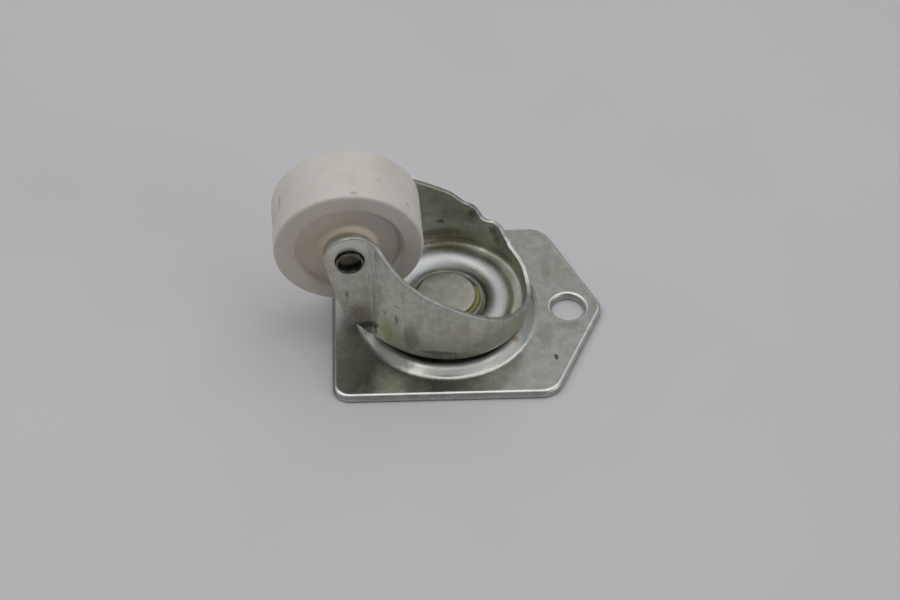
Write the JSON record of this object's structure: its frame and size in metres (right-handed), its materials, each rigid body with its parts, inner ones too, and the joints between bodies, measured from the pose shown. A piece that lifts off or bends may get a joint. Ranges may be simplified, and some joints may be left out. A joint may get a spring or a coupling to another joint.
{
  "type": "swivel castor",
  "caption": "Light plate-mount swivel castor with a pressed fork cup, ball race and a nylon wheel on a hollow riveted axle.",
  "frame": {"origin": "on the swivel axis, in the plane of the plate's mounting face", "axes": "+X towards the plate's tip and its fixing hole, +Z from the mounting face towards the wheel; the wheel trails towards -X, turned 2.75 degrees about +Z at rest"},
  "size_m": [0.0697, 0.0472, 0.0453],
  "materials": {
    "plate_zinc": "dull zinc plate, mottled",
    "fork_zinc": "dull zinc plate, stretched at the bends, lightly stained",
    "pin_zinc": "matt peened zinc plate",
    "washer_zinc": "zinc plate with a trace of grease",
    "axle_zinc": "zinc plate, dark inside the bore",
    "ball_steel": "polished, greased",
    "wheel_nylon": "satin nylon, lightly scuffed tread"
  },
  "bodies": {
    "plate": {"mounting_plate": "plate_zinc", "king_pin": "pin_zinc", "cup_washer": "washer_zinc"},
    "fork": {"fork": "fork_zinc", "axle": "axle_zinc"},
    "wheel": {"wheel": "wheel_nylon"},
    "balls": {"race_ball_01": "ball_steel", "race_ball_02": "ball_steel", "race_ball_03": "ball_steel", "race_ball_04": "ball_steel", "race_ball_05": "ball_steel", "race_ball_06": "ball_steel", "race_ball_07": "ball_steel", "race_ball_08": "ball_steel", "race_ball_09": "ball_steel", "race_ball_10": "ball_steel", "race_ball_11": "ball_steel", "race_ball_12": "ball_steel", "race_ball_13": "ball_steel", "race_ball_14": "ball_steel", "race_ball_15": "ball_steel", "race_ball_16": "ball_steel"}
  },
  "joints": [
    {"name": "swivel", "type": "hinge", "parent": "plate", "child": "fork", "pos_m": [0, 0, 0], "axis": [0, 0, 1], "continuous": true},
    {"name": "wheel_spin", "type": "hinge", "parent": "fork", "child": "wheel", "pos_m": [-0.02068, -0.00099, 0.02996], "axis": [-0.048, 0.9988, 0], "continuous": true},
    {"name": "race_roll", "type": "hinge", "parent": "plate", "child": "balls", "pos_m": [0, 0, 0], "axis": [0, 0, 1], "continuous": true}
  ],
  "couplings": [
    {"joint": "race_roll", "follows": "swivel", "ratio": 0.5}
  ]
}
